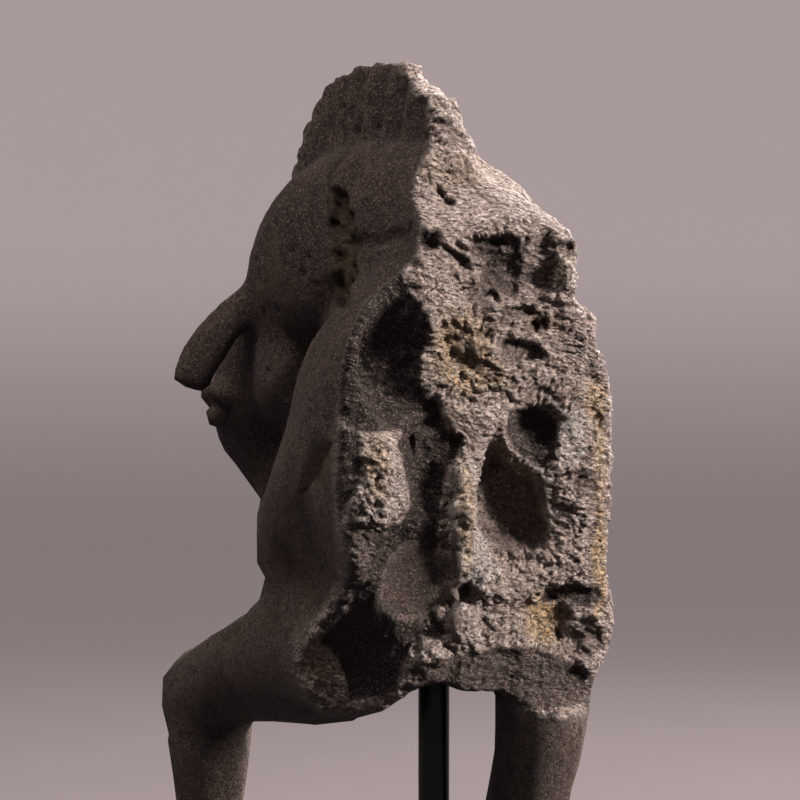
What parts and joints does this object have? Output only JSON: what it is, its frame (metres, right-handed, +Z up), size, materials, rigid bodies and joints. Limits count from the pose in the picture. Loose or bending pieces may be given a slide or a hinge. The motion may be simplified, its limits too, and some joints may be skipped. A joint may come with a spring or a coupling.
{
  "type": "stone horse statue",
  "caption": "Broken fore part of a carved stone horse with arched neck, upright mane and one raised foreleg, held on a rod in a low base plate.",
  "frame": {"origin": "middle of the base plate's underside", "axes": "+Z up, -Y the way the horse looks, +X the horse's left"},
  "size_m": [0.15, 0.2145, 0.4343],
  "materials": {
    "carved_stone": "weathered dark skin with bright grit, paler crumbled break with ochre stains",
    "rod_paint": "satin black paint",
    "plate_paint": "satin black paint"
  },
  "bodies": {
    "root": {"stone_horse": "carved_stone", "support_rod": "rod_paint", "base_plate": "plate_paint"}
  },
  "joints": []
}
